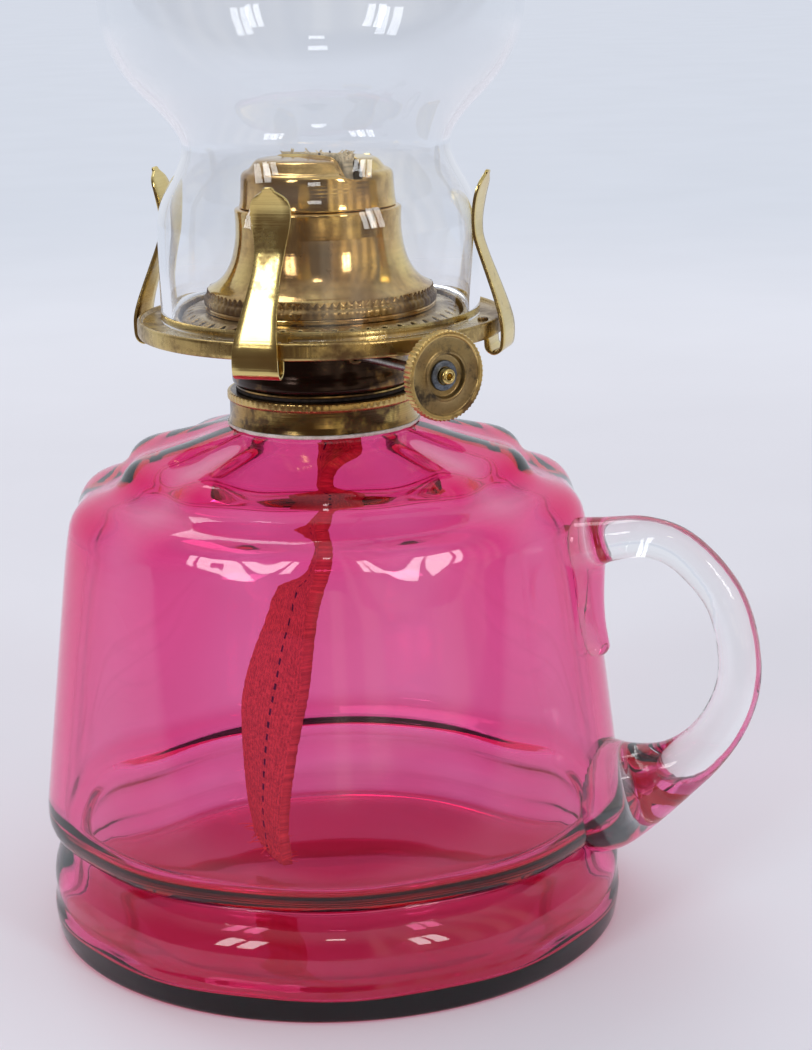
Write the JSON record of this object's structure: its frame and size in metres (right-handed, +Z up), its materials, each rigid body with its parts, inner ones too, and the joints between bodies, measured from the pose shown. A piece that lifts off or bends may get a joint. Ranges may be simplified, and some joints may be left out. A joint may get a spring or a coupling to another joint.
{
  "type": "finger lamp",
  "caption": "Small kerosene hand lamp: panelled glass oil font with a finger handle, brass screw-in flat-wick burner with prongs and wick winder, and a bulbous glass chimney.",
  "frame": {"origin": "middle of the font's flat bottom, which the lamp stands on", "axes": "+Z up along the lamp's axis; -Y is the pictured front; the handle points towards +X, 22 degrees forward"},
  "size_m": [0.1583, 0.1332, 0.355],
  "materials": {
    "cranberry_glass": "blown and mould-panelled cranberry pink glass",
    "clear_glass": "clear glass, fire polished",
    "plaster": "white plaster cement",
    "worn_brass": "tarnished sheet brass with brown patches",
    "brass": "polished sheet brass, lightly worn",
    "rose_brass": "heated, rose tinted sheet brass",
    "felt": "dark seating washer",
    "steel": "plain steel wire and sheet",
    "dark_metal": "dark oxidised metal",
    "cotton": "woven cotton, charred at the top"
  },
  "bodies": {
    "font": {"oil_font": "cranberry_glass", "handle": "clear_glass", "plaster_ring": "plaster", "collar": "worn_brass"},
    "seat_washer": {"seat_washer": "felt"},
    "burner": {"thread_shell": "worn_brass", "burner_cup": "worn_brass", "wick_tube": "worn_brass", "spindle_housing": "worn_brass", "spindle_bush": "worn_brass", "gallery": "brass", "air_plate": "worn_brass", "prong_1": "brass", "prong_2": "brass", "prong_3": "brass", "prong_4": "brass", "prong_rivet_1": "worn_brass", "prong_rivet_2": "worn_brass", "prong_rivet_3": "worn_brass", "prong_rivet_4": "worn_brass"},
    "deflector": {"deflector_bell": "rose_brass", "deflector_cap": "rose_brass", "deflector_ring": "worn_brass"},
    "chimney": {"chimney": "clear_glass"},
    "winder": {"winder_spindle": "steel", "winder_knob": "brass", "knob_washer": "dark_metal", "stem_end": "brass", "spur_wheel_1": "steel", "spur_wheel_2": "steel"},
    "wick": {"wick": "cotton"}
  },
  "joints": [
    {"name": "burner_turn", "type": "hinge", "parent": "font", "child": "seat_washer", "pos_m": [0, 0, 0.1235], "axis": [0, 0, 1], "range_deg": [0, 850]},
    {"name": "burner_lift", "type": "slide", "parent": "seat_washer", "child": "burner", "axis": [0, 0, 1], "range_m": [0, 0.005]},
    {"name": "deflector_lift", "type": "slide", "parent": "burner", "child": "deflector", "axis": [0, 0, 1], "range_m": [0, 0.025]},
    {"name": "chimney_lift", "type": "slide", "parent": "burner", "child": "chimney", "axis": [0, 0, 1], "range_m": [0, 0.07]},
    {"name": "winder_turn", "type": "hinge", "parent": "burner", "child": "winder", "pos_m": [-0.00436, -0.00283, 0.1336], "axis": [0.5446, -0.8387, 0], "range_deg": [-95, 127]},
    {"name": "wick_travel", "type": "slide", "parent": "burner", "child": "wick", "axis": [0, 0, 1], "range_m": [-0.006, 0.008]}
  ],
  "couplings": [
    {"joint": "burner_lift", "follows": "burner_turn", "m_per_rad": 0.00033423},
    {"joint": "wick_travel", "follows": "winder_turn", "m_per_rad": 0.0036}
  ]
}
